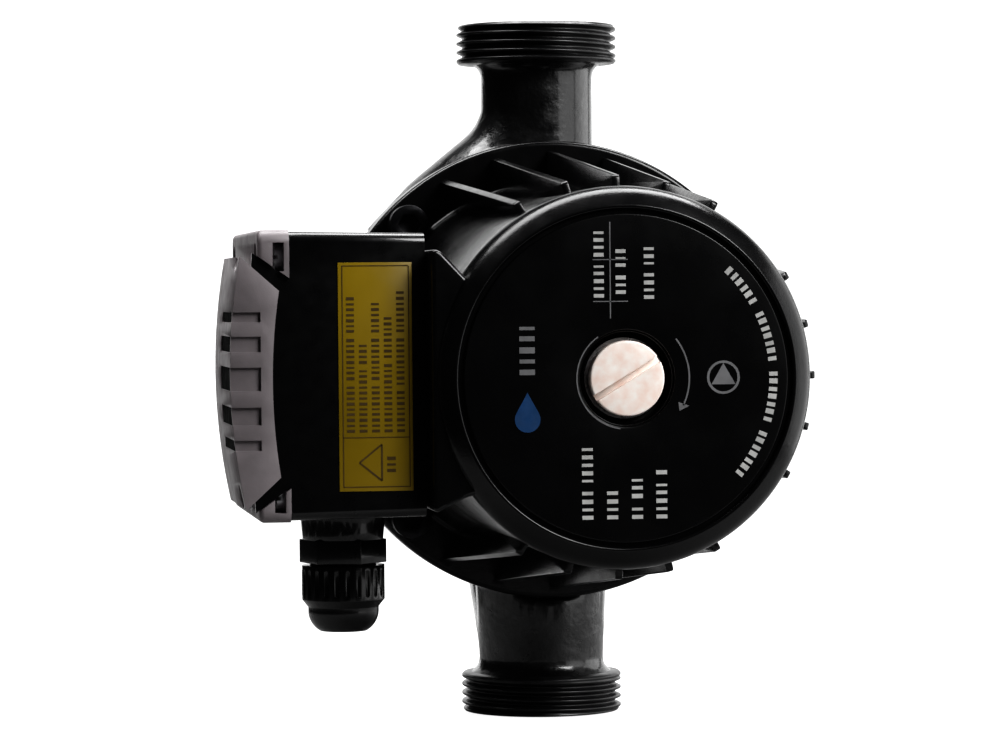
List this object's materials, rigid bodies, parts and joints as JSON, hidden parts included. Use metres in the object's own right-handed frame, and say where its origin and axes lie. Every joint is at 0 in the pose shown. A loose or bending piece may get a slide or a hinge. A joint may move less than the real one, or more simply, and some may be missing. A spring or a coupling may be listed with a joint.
{
  "type": "circulator pump",
  "caption": "In-line wet-rotor circulator with threaded ports, finned motor, vent plug, and a side terminal box with cable gland.",
  "frame": {"origin": "centre of the inlet port's sealing face", "axes": "+Z along the port axis from inlet to outlet; -Y the way the motor and its name plate face; the terminal box is on the -X side"},
  "size_m": [0.1496, 0.1754, 0.18],
  "materials": {
    "painted_casting": "gloss",
    "black_shell": "satin",
    "black_plastic": "satin",
    "grey_plastic": "matte",
    "dark_plastic": "matte",
    "white_plastic": "matte",
    "yellow_label": "satin",
    "dark_label": "satin",
    "nickel_brass": "polished",
    "brass": "satin",
    "stainless": "satin",
    "zinc_steel": "satin",
    "black_steel": "satin",
    "lamination": "matte",
    "copper": "satin",
    "carbon": "satin",
    "ceramic": "polished",
    "rubber": "matte",
    "lead_sheath": "satin",
    "impeller_plastic": "satin"
  },
  "bodies": {
    "pump": {"pump_housing": "painted_casting", "wear_ring": "stainless", "housing_seal": "rubber", "pump_end_bearing": "carbon", "cap_end_bearing": "carbon", "bearing_plate": "stainless", "can_flange_seal": "rubber", "rotor_can": "stainless", "can_neck_seal": "rubber", "stator_core": "lamination", "stator_windings": "copper", "stator_housing": "black_shell", "motor_screws": "black_steel", "nameplate": "dark_label", "terminal_box": "black_plastic", "pad_gasket": "rubber", "box_screws": "zinc_steel", "earth_screw": "zinc_steel", "warning_label": "yellow_label", "terminal_block": "white_plastic", "terminal_clamps": "brass", "terminal_clamp_screws": "zinc_steel", "capacitor": "white_plastic", "capacitor_clip": "zinc_steel", "motor_leads": "lead_sheath", "capacitor_leads": "lead_sheath", "gland_body": "black_plastic", "gland_locknut": "black_plastic", "gland_seal": "rubber"},
    "rotor": {"shaft": "ceramic", "rotor_core": "lamination", "rotor_jacket": "stainless", "thrust_ring": "carbon", "thrust_ring_seat": "rubber", "impeller": "impeller_plastic", "impeller_lock_ring": "stainless"},
    "vent_plug_screw": {"vent_plug_seal": "rubber"},
    "vent_plug": {"vent_plug": "nickel_brass"},
    "lid": {"terminal_lid": "grey_plastic", "terminal_lid_seal": "rubber", "lid_screws": "zinc_steel"},
    "gland_nut_screw": {"gland_slip_ring": "dark_plastic"},
    "gland_nut": {"gland_nut": "black_plastic"}
  },
  "joints": [
    {"name": "rotor_spin", "type": "hinge", "parent": "pump", "child": "rotor", "pos_m": [0, 0, 0.09], "axis": [0, 1, 0], "continuous": true},
    {"name": "vent_plug_out", "type": "slide", "parent": "pump", "child": "vent_plug_screw", "axis": [0, -1, 0], "range_m": [0, 0.009]},
    {"name": "vent_plug_turn", "type": "hinge", "parent": "vent_plug_screw", "child": "vent_plug", "pos_m": [0, -0.12, 0.09], "axis": [0, -1, 0], "range_deg": [0, 2161]},
    {"name": "lid_off", "type": "slide", "parent": "pump", "child": "lid", "axis": [-1, 0, 0], "range_m": [0, 0.06]},
    {"name": "gland_nut_out", "type": "slide", "parent": "pump", "child": "gland_nut_screw", "axis": [0, 0, -1], "range_m": [0, 0.006]},
    {"name": "gland_nut_turn", "type": "hinge", "parent": "gland_nut_screw", "child": "gland_nut", "pos_m": [-0.061, -0.082, 0.04], "axis": [0, 0, -1], "range_deg": [0, 1441]}
  ],
  "couplings": [
    {"joint": "vent_plug_turn", "follows": "vent_plug_out", "rad_per_m": 4188.8},
    {"joint": "gland_nut_turn", "follows": "gland_nut_out", "rad_per_m": 4188.8}
  ]
}
